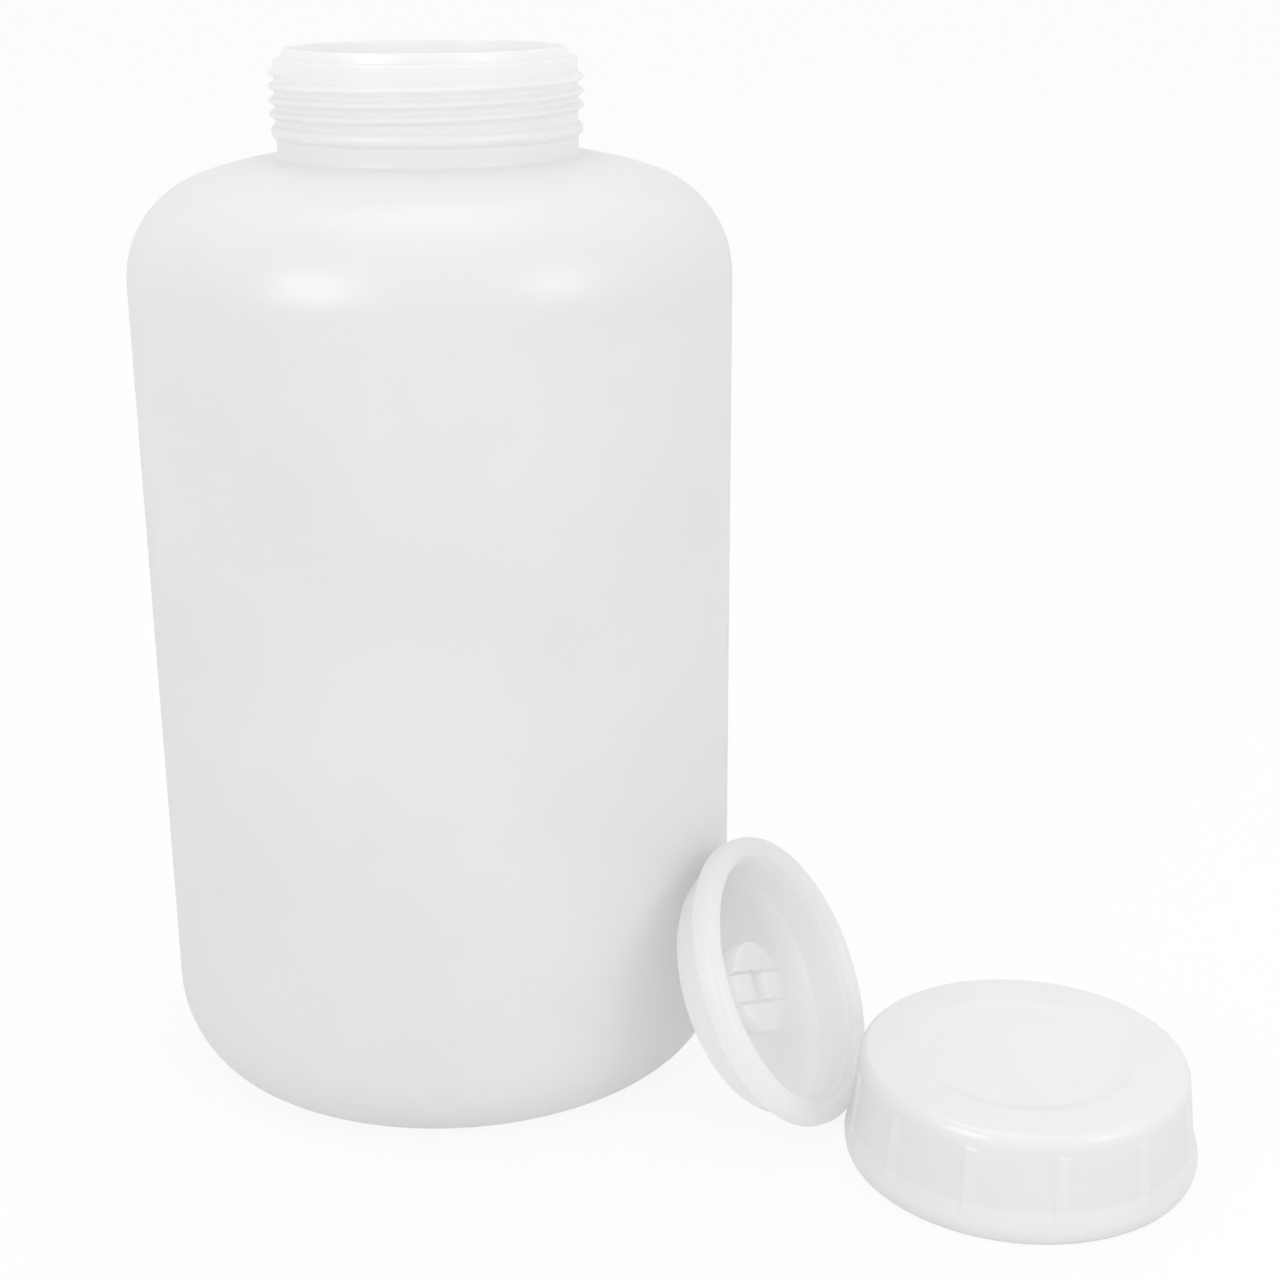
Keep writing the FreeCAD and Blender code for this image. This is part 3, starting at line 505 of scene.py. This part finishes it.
def plug_outline(sizes):
    """The plug's section from the underside's middle, round the rim and down to the floor's middle."""
    half = sizes.rim_height / 2
    rim = sizes.rim_radius
    around = sizes.rim_round
    inner = rim - sizes.rim_width
    inner_round = sizes.rim_inner_round
    cup = sizes.cup_radius
    bore = cup - sizes.wall
    under = -sizes.depth
    floor = under + sizes.wall
    corner = sizes.corner
    dish = []
    dish_steps = 8
    for step in range(dish_steps + 1):
        part = 1 - step / dish_steps
        dish.append((bore - sizes.dish_width * (1 - part), floor + sizes.dish_rise * part ** 2))
    under_rim = (cup, -half)
    ledge_inner = (bore, sizes.ledge)
    ledge_outer = (inner, sizes.ledge)
    return (
        [(0, under), (0.010, under), (cup - corner, under)]
        + arc((cup - corner, under + corner), corner, -90, 0, 12)
        + rounded((cup, under + corner), under_rim, (rim - around, -half), 0.0003, 3)
        + [(rim - around, -half)]
        + arc((rim - around, around - half), around, -90, 0, 9)
        + arc((rim - around, half - around), around, 0, 90, 10)
        + rows((rim - around, half), (inner + inner_round, half), 0.0006)
        + arc((inner + inner_round, half - inner_round), inner_round, 90, 180, 8)
        + rounded((inner, half - inner_round), ledge_outer, ledge_inner, 0.0006, 6)
        + rounded(ledge_outer, ledge_inner, dish[0], 0.0005, 6)
        + rounded(ledge_inner, dish[0], dish[1], 0.0005, 6)
        + dish[1:]
        + [(0, floor)]
    )


def cut_away(piece, cutter):
    """Takes one piece's shape out of another, and removes the cutter."""
    cut = piece.modifiers.new("cut", "BOOLEAN")
    cut.operation = "DIFFERENCE"
    cut.solver = "EXACT"
    cut.object = cutter
    apply_modifier(piece, cut)
    bpy.data.objects.remove(cutter)


def plug_grip(sizes):
    """The plug's grip: a low disc with two slots and a six-sided hole sunk in its top, and softened edges."""
    floor = sizes.wall - sizes.depth
    sunk = 0.0004
    tall = sizes.grip_height + sunk
    top = floor + sizes.grip_height
    deselect_all()
    bpy.ops.mesh.primitive_cylinder_add(
        vertices=128, radius=sizes.grip_radius, depth=tall, location=(0, 0, floor - sunk + tall / 2)
    )
    grip = bpy.context.object
    grip.name = "plug_grip"
    for side in (-1, 1):
        deselect_all()
        bpy.ops.mesh.primitive_cube_add(
            size=1, location=(0, side * sizes.grip_slot_spread / 2, top),
            scale=(3 * sizes.grip_radius, sizes.grip_slot, 2 * sizes.grip_slot_depth),
        )
        cut_away(grip, bpy.context.object)
    deselect_all()
    bpy.ops.mesh.primitive_cylinder_add(
        vertices=6, radius=sizes.grip_hole_length / 2, depth=2 * sizes.grip_slot_depth, location=(0, 0, top)
    )
    hole = bpy.context.object
    # The hole's two end corners stay, and its side corners move to the hole's width and the slots.
    for vertex in hole.data.vertices:
        vertex.select = abs(vertex.co.x) > 0.001
    for polygon in hole.data.polygons:
        polygon.select = False
    for edge in hole.data.edges:
        edge.select = False
    wide = max(abs(vertex.co.x) for vertex in hole.data.vertices)
    high = max(abs(vertex.co.y) for vertex in hole.data.vertices if vertex.select)
    squeeze = (sizes.grip_hole_width / 2 / wide, sizes.grip_slot_spread / 2 / high, 1)
    bpy.ops.object.mode_set(mode="EDIT")
    bpy.ops.mesh.select_mode(type="VERT")
    bpy.ops.transform.resize(value=squeeze, center_override=(0, 0, 0))
    bpy.ops.object.mode_set(mode="OBJECT")
    cut_away(grip, hole)
    soften = grip.modifiers.new("soften", "BEVEL")
    soften.width = sizes.grip_edge
    soften.segments = 2
    soften.limit_method = "ANGLE"
    soften.angle_limit = math.radians(30)
    apply_modifier(grip, soften)
    return grip


class JAR_OT_plug(bpy.types.Operator):
    """Models the inner plug with its slotted grip, and leans it on the bottle"""

    bl_idname = "jar.plug"
    bl_label = "Inner plug"

    def execute(self, context):
        sizes = context.scene.jar_plug
        plug = turned_piece("jar_inner_plug", plug_outline(sizes), sizes.segments)
        grip = plug_grip(sizes)
        weld = plug.modifiers.new("weld", "BOOLEAN")
        weld.operation = "UNION"
        weld.solver = "EXACT"
        weld.object = grip
        apply_modifier(plug, weld)
        bpy.data.objects.remove(grip)
        floor = sizes.wall - sizes.depth
        grip_top = floor + sizes.grip_height
        just_off = 0.0001
        skin_down = 0.0005
        skin_in = 0.0004

        # The grip's top and outer wall turn paler: partly the grip's thicker plastic, partly painted light
        # that evens out the shade on its side wall.
        def on_grip(point):
            radius = math.hypot(point.x, point.y)
            if radius >= sizes.grip_radius + just_off or point.z <= floor + just_off:
                return 0.0
            on_top = point.z > grip_top - skin_down
            on_side = radius > sizes.grip_radius - skin_in
            return float(on_top or on_side)

        mark_places(plug, "thick_and_painted_light", on_grip)
        plug.matrix_world = (
            Matrix.Translation(sizes.middle)
            @ Matrix.Rotation(sizes.facing + math.pi / 2, 4, "Z")
            @ Matrix.Rotation(math.pi / 2 - sizes.tilt, 4, "X")
            @ Matrix.Rotation(sizes.roll, 4, "Z")
        )
        choose(plug)
        bpy.ops.object.transform_apply(location=True, rotation=True, scale=True)
        smooth_shade(plug)
        finish_piece(plug, "inner_plug", plug_plastic())
        return {"FINISHED"}


def cap_outline(sizes):
    """The cap's section, mouth down: from the top's middle over the edge and the skirt, and up the bore."""
    height = sizes.height
    side = sizes.bore + sizes.wall
    crest = side + sizes.flare + sizes.bead_depth
    dish = height - sizes.recess_depth
    under = dish - sizes.top
    recess = (sizes.recess_radius, height)
    dish_edge = (sizes.recess_radius - sizes.recess_slope, dish)
    edge_foot = (side, height - sizes.edge_fall)
    edge_head = (side - sizes.edge_round, height)
    under_corner = (sizes.bore, under)
    mouth_corner = (sizes.bore, 0)
    fall = (edge_foot[1] - sizes.bead_crest) / sizes.flare
    bead_top = (side + (edge_foot[1] - sizes.bead_height) / fall, sizes.bead_height)
    curve_steps = 14
    softness = 0.12
    swell = []
    edge = []
    for step in range(1, curve_steps + 1):
        part = step / curve_steps
        eased = (1 + softness) * part ** 2 / (part + softness)
        level = sizes.bead_height + (sizes.bead_crest - sizes.bead_height) * part
        skirt = side + (edge_foot[1] - level) / fall
        swell.append((skirt + sizes.bead_depth * (1 - (1 - eased) ** 2), level))
        angle = math.radians(90 * step / curve_steps)
        over = edge_head[0] + sizes.edge_round * math.sin(angle)
        edge.append((over, edge_foot[1] + sizes.edge_fall * math.cos(angle)))
    tuck_steps = 12
    tuck_width = 0.0012
    tuck = []
    for step in range(1, tuck_steps + 1):
        angle = math.radians(90 * step / tuck_steps)
        under_crest = crest - tuck_width * (1 - math.cos(angle))
        tuck.append((under_crest, sizes.bead_crest * (1 - math.sin(angle))))
    # The small point in a shallow ring that the mould's inlet leaves at the middle of the top.
    dish_middle = (0.010, dish)
    inlet_rise = 0.00008
    inlet_edge = 0.00006
    inlet_sink = 0.00012
    inlet = [
        (0, dish + inlet_rise), (0.0004, dish + inlet_edge),
        (0.0007, dish - inlet_sink), (0.0016, dish - inlet_sink), (0.0021, dish),
    ]
    return (
        inlet
        + [dish_middle]
        + rounded(dish_middle, dish_edge, recess, 0.0011, 5)
        + rounded(dish_edge, recess, edge_head, 0.0009, 5)
        + [(recess[0] + 0.004, height), edge_head]
        + edge
        + rows(edge_foot, bead_top, 0.0003)
        + swell
        + tuck
        + rounded(tuck[-1], mouth_corner, under_corner, 0.0003, 3)
        + rows((sizes.bore, 0.0004), (sizes.bore, 0.0135), 0.00045)
        + rounded(mouth_corner, under_corner, (0, under), 0.0008)
        + [(0.016, under), (0, under)]
    )


class JAR_OT_cap(bpy.types.Operator):
    """Models the screw cap, mouth down, with its dished top, grip ribs, foot bead and inner thread"""

    bl_idname = "jar.cap"
    bl_label = "Screw cap"

    def execute(self, context):
        sizes = context.scene.jar_cap
        cap = turned_piece("jar_screw_cap", cap_outline(sizes), sizes.segments)
        side = sizes.bore + sizes.wall
        rib_top = sizes.height - sizes.rib_drop
        half_rib = sizes.rib_width / 2
        spacing = math.tau / sizes.ribs
        rib_flank = 0.0011
        rib_end = 0.0005

        def on_rib(point):
            radius = math.hypot(point.x, point.y)
            if radius < side - 0.0002 or point.z < sizes.bead_height / 2:
                return 0.0
            direction = math.atan2(point.y, point.x) - sizes.rib_first
            beside = abs((direction + spacing / 2) % spacing - spacing / 2) * radius
            across = smooth_step((half_rib - beside) / rib_flank)
            upwards = smooth_step((rib_top - point.z) / rib_end)
            downwards = smooth_step(2 * point.z / sizes.bead_height - 1)
            return across * upwards * downwards

        def in_bore(point):
            if abs(math.hypot(point.x, point.y) - sizes.bore) > ON_WALL:
                return 0.0
            return thread_weight(sizes, point, sizes.thread_rise, sizes.rib_first)

        # The ribs turn paler: partly their thicker plastic, partly painted light bands in place of their
        # shading.
        mark_places(cap, "thick_and_painted_light", on_rib)
        raise_surface(cap, "ribs", sizes.rib_depth, on_rib)
        raise_surface(cap, "inner_thread", sizes.thread_depth, in_bore)
        middle = (CAP_LOW + CAP_HIGH) / 2
        cap.location = (middle.x, middle.y, CAP_LOW.z)
        choose(cap)
        bpy.ops.object.transform_apply(location=True, rotation=True, scale=True)
        smooth_shade(cap)
        finish_piece(cap, "screw_cap", cap_plastic())
        return {"FINISHED"}


def finish_piece(piece, solid, material):
    """Gives a piece its material, lets it stand for its solid and ride with the jar."""
    piece.data.materials.clear()
    piece.data.materials.append(material)
    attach(piece, "root")
    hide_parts(solid)


def node(tree, kind, x, y, **settings):
    """Adds a node at a place in the tree, with its own settings."""
    made = tree.nodes.new(kind)
    made.location = (x, y)
    for name, value in settings.items():
        setattr(made, name, value)
    return made


def moulded_surface():
    """A node group for moulded plastic: cloudy colour, uneven gloss and a fine grain over slow waves."""
    name = "Moulded surface"
    if name in bpy.data.node_groups:
        return bpy.data.node_groups[name]
    group = bpy.data.node_groups.new(name, "ShaderNodeTree")
    inputs = (
        ("Light Tint", "NodeSocketColor", (0.86, 0.86, 0.86, 1)),
        ("Dark Tint", "NodeSocketColor", (0.82, 0.82, 0.82, 1)),
        # The next two are the paler tint and the mask's share of it: partly thicker plastic, partly painted
        # light.
        ("Thick And Painted Light Tint", "NodeSocketColor", (0.95, 0.95, 0.95, 1)),
        ("Thickness", "NodeSocketFloat", 0.0),
        ("Cloud Scale", "NodeSocketFloat", 22.0),
        ("Roughness", "NodeSocketFloat", 0.38),
        ("Roughness Spread", "NodeSocketFloat", 0.05),
        ("Wave Scale", "NodeSocketFloat", 45.0),
        ("Wave Height", "NodeSocketFloat", 0.5),
        ("Grain Scale", "NodeSocketFloat", 2600.0),
        ("Grain Height", "NodeSocketFloat", 0.04),
    )
    outputs = (("Color", "NodeSocketColor"), ("Roughness", "NodeSocketFloat"), ("Height", "NodeSocketFloat"))
    for label, kind, value in inputs:
        socket = group.interface.new_socket(label, in_out="INPUT", socket_type=kind)
        socket.default_value = value
    for label, kind in outputs:
        group.interface.new_socket(label, in_out="OUTPUT", socket_type=kind)
    given = node(group, "NodeGroupInput", -1000, 0)
    result = node(group, "NodeGroupOutput", 500, 0)
    coords = node(group, "ShaderNodeTexCoord", -1000, -400)
    clouds = node(group, "ShaderNodeTexNoise", -700, 250)
    clouds.inputs["Detail"].default_value = 3.0
    clouds.inputs["Roughness"].default_value = 0.55
    waves = node(group, "ShaderNodeTexNoise", -700, -50)
    waves.inputs["Detail"].default_value = 1.0
    grain = node(group, "ShaderNodeTexNoise", -700, -350)
    grain.inputs["Detail"].default_value = 2.0
    spread = node(group, "ShaderNodeMapRange", -450, 250)
    spread.inputs["From Min"].default_value = 0.32
    spread.inputs["From Max"].default_value = 0.68
    tone = node(group, "ShaderNodeMix", -150, 300, data_type="RGBA")
    # Painted light: mixes in the paler tint by the mask, partly for thicker plastic and partly as light
    # painted over shade.
    thick_and_painted_light_tone = node(group, "ShaderNodeMix", 100, 300, data_type="RGBA")
    gloss = node(group, "ShaderNodeMath", -150, 50, operation="MULTIPLY_ADD")
    centred = node(group, "ShaderNodeMath", -300, 50, operation="SUBTRACT")
    centred.inputs[1].default_value = 0.5
    wave_height = node(group, "ShaderNodeMath", -300, -150, operation="MULTIPLY")
    grain_height = node(group, "ShaderNodeMath", -300, -350, operation="MULTIPLY")
    height = node(group, "ShaderNodeMath", -100, -250, operation="ADD")
    link = group.links.new
    for noise, scale in ((clouds, "Cloud Scale"), (waves, "Wave Scale"), (grain, "Grain Scale")):
        link(coords.outputs["Object"], noise.inputs["Vector"])
        link(given.outputs[scale], noise.inputs["Scale"])
    link(clouds.outputs["Fac"], spread.inputs["Value"])
    link(spread.outputs["Result"], tone.inputs["Factor"])
    link(given.outputs["Dark Tint"], tone.inputs[6])
    link(given.outputs["Light Tint"], tone.inputs[7])
    link(spread.outputs["Result"], centred.inputs[0])
    link(centred.outputs[0], gloss.inputs[0])
    link(given.outputs["Roughness Spread"], gloss.inputs[1])
    link(given.outputs["Roughness"], gloss.inputs[2])
    link(waves.outputs["Fac"], wave_height.inputs[0])
    link(given.outputs["Wave Height"], wave_height.inputs[1])
    link(grain.outputs["Fac"], grain_height.inputs[0])
    link(given.outputs["Grain Height"], grain_height.inputs[1])
    link(wave_height.outputs[0], height.inputs[0])
    link(grain_height.outputs[0], height.inputs[1])
    link(given.outputs["Thickness"], thick_and_painted_light_tone.inputs["Factor"])
    link(tone.outputs[2], thick_and_painted_light_tone.inputs[6])
    link(given.outputs["Thick And Painted Light Tint"], thick_and_painted_light_tone.inputs[7])
    link(thick_and_painted_light_tone.outputs[2], result.inputs["Color"])
    link(gloss.outputs[0], result.inputs["Roughness"])
    link(height.outputs[0], result.inputs["Height"])
    return group


def milky_plastic(name, light, dark, roughness, waves, translucency):
    """A satin, milky plastic. Returns the material, and its surface node and bump for a finish to add to."""
    material = bpy.data.materials.new(name)
    material.use_nodes = True
    tree = material.node_tree
    tree.nodes.clear()
    output = node(tree, "ShaderNodeOutputMaterial", 700, 0)
    shader = node(tree, "ShaderNodeBsdfPrincipled", 100, 0)
    through = node(tree, "ShaderNodeBsdfTranslucent", 100, -500)
    mix = node(tree, "ShaderNodeMixShader", 450, 0)
    surface = node(tree, "ShaderNodeGroup", -500, 0)
    surface.node_tree = moulded_surface()
    surface.inputs["Light Tint"].default_value = (*light, 1)
    surface.inputs["Dark Tint"].default_value = (*dark, 1)
    surface.inputs["Roughness"].default_value = roughness
    surface.inputs["Wave Height"].default_value = waves
    bump = node(tree, "ShaderNodeBump", -150, -300)
    bump.inputs["Strength"].default_value = 0.6
    bump.inputs["Distance"].default_value = 0.0004
    shader.inputs["IOR"].default_value = 1.54
    # The share of light that goes through has no gloss, so the rest gets more of it.
    shader.inputs["Specular IOR Level"].default_value = min(1.0, 0.5 / (1 - translucency))
    mix.inputs["Fac"].default_value = translucency
    link = tree.links.new
    link(surface.outputs["Color"], shader.inputs["Base Color"])
    link(surface.outputs["Roughness"], shader.inputs["Roughness"])
    link(surface.outputs["Height"], bump.inputs["Height"])
    link(bump.outputs["Normal"], shader.inputs["Normal"])
    link(surface.outputs["Color"], through.inputs["Color"])
    link(shader.outputs[0], mix.inputs[1])
    link(through.outputs[0], mix.inputs[2])
    link(mix.outputs[0], output.inputs["Surface"])
    return material, surface, bump


def pale_where_thick_and_painted_light(material, surface, colour):
    """Gives the plastic a paler tint by the mask that the piece carries: partly its thicker places' colour,
    partly painted light over shade.
    """
    tree = material.node_tree
    mask = node(tree, "ShaderNodeAttribute", -800, 0, attribute_name="thick_and_painted_light")
    surface.inputs["Thick And Painted Light Tint"].default_value = (*colour, 1)
    tree.links.new(mask.outputs["Fac"], surface.inputs["Thickness"])


def bottle_plastic():
    """The bottle's plastic, with the faint line that the two halves of its mould leave."""
    looks = bpy.context.scene.jar_finishes
    material, surface, bump = milky_plastic(
        "bottle_plastic", looks.bottle_light, looks.bottle_dark, looks.bottle_roughness,
        waves=0.9, translucency=0.52,
    )
    pale_where_thick_and_painted_light(material, surface, looks.bottle_neck)
    tree = material.node_tree
    coords = node(tree, "ShaderNodeTexCoord", -1100, -700)
    axes = node(tree, "ShaderNodeSeparateXYZ", -900, -700)
    off = node(tree, "ShaderNodeMath", -700, -700, operation="ABSOLUTE")
    line = node(tree, "ShaderNodeMapRange", -500, -700, interpolation_type="SMOOTHSTEP")
    line.inputs["From Min"].default_value = 0.0
    line.inputs["From Max"].default_value = 0.00035
    line.inputs["To Min"].default_value = 0.35
    line.inputs["To Max"].default_value = 0.0
    both = node(tree, "ShaderNodeMath", -300, -500, operation="ADD")
    link = tree.links.new
    link(coords.outputs["Object"], axes.inputs[0])
    link(axes.outputs["Y"], off.inputs[0])
    link(off.outputs[0], line.inputs["Value"])
    link(line.outputs[0], both.inputs[0])
    link(surface.outputs["Height"], both.inputs[1])
    link(both.outputs[0], bump.inputs["Height"])
    return material


def plug_plastic():
    """The inner plug's plastic, a little glossier than the bottle's, and paler on its grip, partly for the
    grip's thicker plastic and partly as painted light.
    """
    looks = bpy.context.scene.jar_finishes
    material, surface, _ = milky_plastic(
        "plug_plastic", looks.plug_light, looks.plug_dark, looks.plug_roughness,
        waves=0.3, translucency=0.7,
    )
    pale_where_thick_and_painted_light(material, surface, looks.plug_grip)
    return material


def cap_plastic():
    """The screw cap's plastic, paler on its ribs, partly for their thicker plastic and partly as painted
    light.
    """
    looks = bpy.context.scene.jar_finishes
    material, surface, _ = milky_plastic(
        "cap_plastic", looks.cap_light, looks.cap_dark, looks.cap_roughness,
        waves=0.35, translucency=0.3,
    )
    pale_where_thick_and_painted_light(material, surface, looks.cap_ribs)
    return material


def soft_lamp(name, location, aim, size, power, gloss_only):
    """A square softbox that looks at a point. One for gloss only gives highlights and no other light."""
    data = bpy.data.lights.new(name, "AREA")
    data.shape = "SQUARE"
    data.size = size
    data.energy = power
    lamp = bpy.data.objects.new(name, data)
    bpy.context.scene.collection.objects.link(lamp)
    lamp.location = location
    lamp.visible_diffuse = not gloss_only
    toward = Vector(aim) - lamp.location
    lamp.rotation_euler = toward.to_track_quat("-Z", "Y").to_euler()


def seen_directly(tree, x, y):
    """A socket that is 1 for rays from the camera, reflections and clear materials, and otherwise 0."""
    rays = node(tree, "ShaderNodeLightPath", x, y)
    mirrored = node(tree, "ShaderNodeMath", x + 200, y, operation="MAXIMUM")
    either = node(tree, "ShaderNodeMath", x + 350, y, operation="MAXIMUM")
    link = tree.links.new
    link(rays.outputs["Is Camera Ray"], mirrored.inputs[0])
    link(rays.outputs["Is Glossy Ray"], mirrored.inputs[1])
    link(mirrored.outputs[0], either.inputs[0])
    link(rays.outputs["Is Transmission Ray"], either.inputs[1])
    return either.outputs[0]


def pale_floor(colour):
    """The floor's material: pale and matte, partly lit by itself where the camera or a reflection sees it."""
    material = bpy.data.materials.new("pale_floor")
    material.use_nodes = True
    tree = material.node_tree
    tree.nodes.clear()
    output = node(tree, "ShaderNodeOutputMaterial", 600, 0)
    matte = node(tree, "ShaderNodeBsdfDiffuse", 0, 0)
    matte.inputs["Color"].default_value = (*colour, 1)
    white = node(tree, "ShaderNodeEmission", 0, -200)
    part = node(tree, "ShaderNodeMath", 150, 300, operation="MULTIPLY")
    part.inputs[1].default_value = FLOOR_GLOW
    mix = node(tree, "ShaderNodeMixShader", 350, 0)
    link = tree.links.new
    link(seen_directly(tree, -400, 300), part.inputs[0])
    link(part.outputs[0], mix.inputs["Fac"])
    link(matte.outputs[0], mix.inputs[1])
    link(white.outputs[0], mix.inputs[2])
    link(mix.outputs[0], output.inputs["Surface"])
    return material


def white_world():
    """An even white world, which lights the jar and is its backdrop."""
    world = bpy.data.worlds.new("studio")
    bpy.context.scene.world = world
    world.use_nodes = True
    tree = world.node_tree
    tree.nodes.clear()
    output = node(tree, "ShaderNodeOutputWorld", 200, 0)
    backdrop = node(tree, "ShaderNodeBackground", 0, 0)
    backdrop.inputs["Color"].default_value = (1, 1, 1, 1)
    backdrop.inputs["Strength"].default_value = 1.0
    tree.links.new(backdrop.outputs[0], output.inputs["Surface"])


class JAR_OT_stage(bpy.types.Operator):
    """Sets the floor, the world, the softboxes and the camera"""

    bl_idname = "jar.stage"
    bl_label = "Stage"

    def execute(self, context):
        deselect_all()
        bpy.ops.mesh.primitive_plane_add(size=FLOOR_SIZE, location=(0, 0, FRAME_BOX[0][2]))
        floor = bpy.context.object
        floor.name = "stage_floor"
        floor.data.materials.append(pale_floor(context.scene.jar_finishes.floor))
        white_world()
        for lamp in LAMPS:
            soft_lamp(*lamp)
        data = bpy.data.cameras.new("camera")
        data.lens = CAMERA_LENS
        data.sensor_width = 36
        data.clip_start = 0.01
        camera = bpy.data.objects.new("camera", data)
        context.scene.collection.objects.link(camera)
        camera.matrix_world = (
            Matrix.Translation(CAMERA_PLACE)
            @ Matrix.Rotation(math.radians(CAMERA_TURN), 4, "Z")
            @ Matrix.Rotation(math.radians(90 - CAMERA_DIP), 4, "X")
            @ Matrix.Rotation(math.radians(CAMERA_ROLL), 4, "Z")
        )
        context.scene.camera = camera
        context.scene.view_settings.view_transform = "Standard"
        return {"FINISHED"}


class JAR_PT_sidebar(bpy.types.Panel):
    """Lists the jar's sizes, finishes and operators"""

    bl_idname = "JAR_PT_sidebar"
    bl_label = "Storage Jar"
    bl_space_type = "VIEW_3D"
    bl_region_type = "UI"
    bl_category = "Storage Jar"

    def draw(self, context):
        layout = self.layout
        groups = (
            ("jar.bottle", "jar_bottle"),
            ("jar.plug", "jar_plug"),
            ("jar.cap", "jar_cap"),
            ("jar.stage", "jar_finishes"),
        )
        for operator, group_name in groups:
            box = layout.box()
            box.operator(operator)
            group = getattr(context.scene, group_name)
            for name in group.__annotations__:
                box.prop(group, name)


GROUPS = (
    ("jar_bottle", JarBottleSizes),
    ("jar_plug", JarPlugSizes),
    ("jar_cap", JarCapSizes),
    ("jar_finishes", JarFinishes),
)
OPERATORS = (JAR_OT_bottle, JAR_OT_plug, JAR_OT_cap, JAR_OT_stage)


def register():
    """Adds the sizes, the operators and the sidebar."""
    for name, group in GROUPS:
        bpy.utils.register_class(group)
        setattr(bpy.types.Scene, name, bpy.props.PointerProperty(type=group))
    for operator in OPERATORS:
        bpy.utils.register_class(operator)
    bpy.utils.register_class(JAR_PT_sidebar)


def unregister():
    """Takes away what register added."""
    bpy.utils.unregister_class(JAR_PT_sidebar)
    for operator in reversed(OPERATORS):
        bpy.utils.unregister_class(operator)
    for name, group in reversed(GROUPS):
        delattr(bpy.types.Scene, name)
        bpy.utils.unregister_class(group)


def main():
    """Makes the pieces and the stage."""
    register()
    bpy.ops.jar.bottle()
    bpy.ops.jar.plug()
    bpy.ops.jar.cap()
    bpy.ops.jar.stage()


if __name__ == "__main__":
    main()
